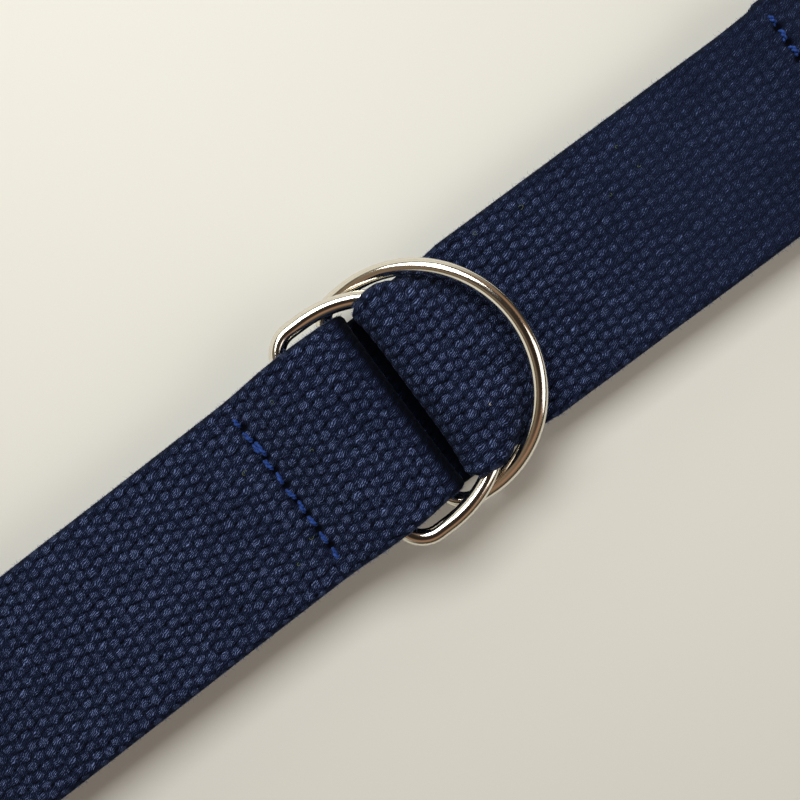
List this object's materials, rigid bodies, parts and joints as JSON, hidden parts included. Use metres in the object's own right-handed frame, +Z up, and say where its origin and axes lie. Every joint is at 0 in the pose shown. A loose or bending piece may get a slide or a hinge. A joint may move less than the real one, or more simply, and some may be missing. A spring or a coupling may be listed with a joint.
{
  "type": "double ring belt",
  "caption": "Woven cotton belt lying fastened as a flat loop, its tongue threaded through two D-shaped metal rings and turned back between them.",
  "frame": {"origin": "on the resting plane, under the middle of the belt's box", "axes": "+Z up off the resting plane; +X along the belt from the rings towards the free tongue; +Y across the webbing"},
  "size_m": [0.45, 0.0471, 0.0188],
  "materials": {
    "navy_webbing": "thick plain-woven navy cotton, matt, with royal blue seams",
    "nickel_wire": "polished warm nickel plate on round steel wire"
  },
  "bodies": {
    "root": {"webbing_strap": "navy_webbing", "front_ring": "nickel_wire", "back_ring": "nickel_wire"}
  },
  "joints": []
}
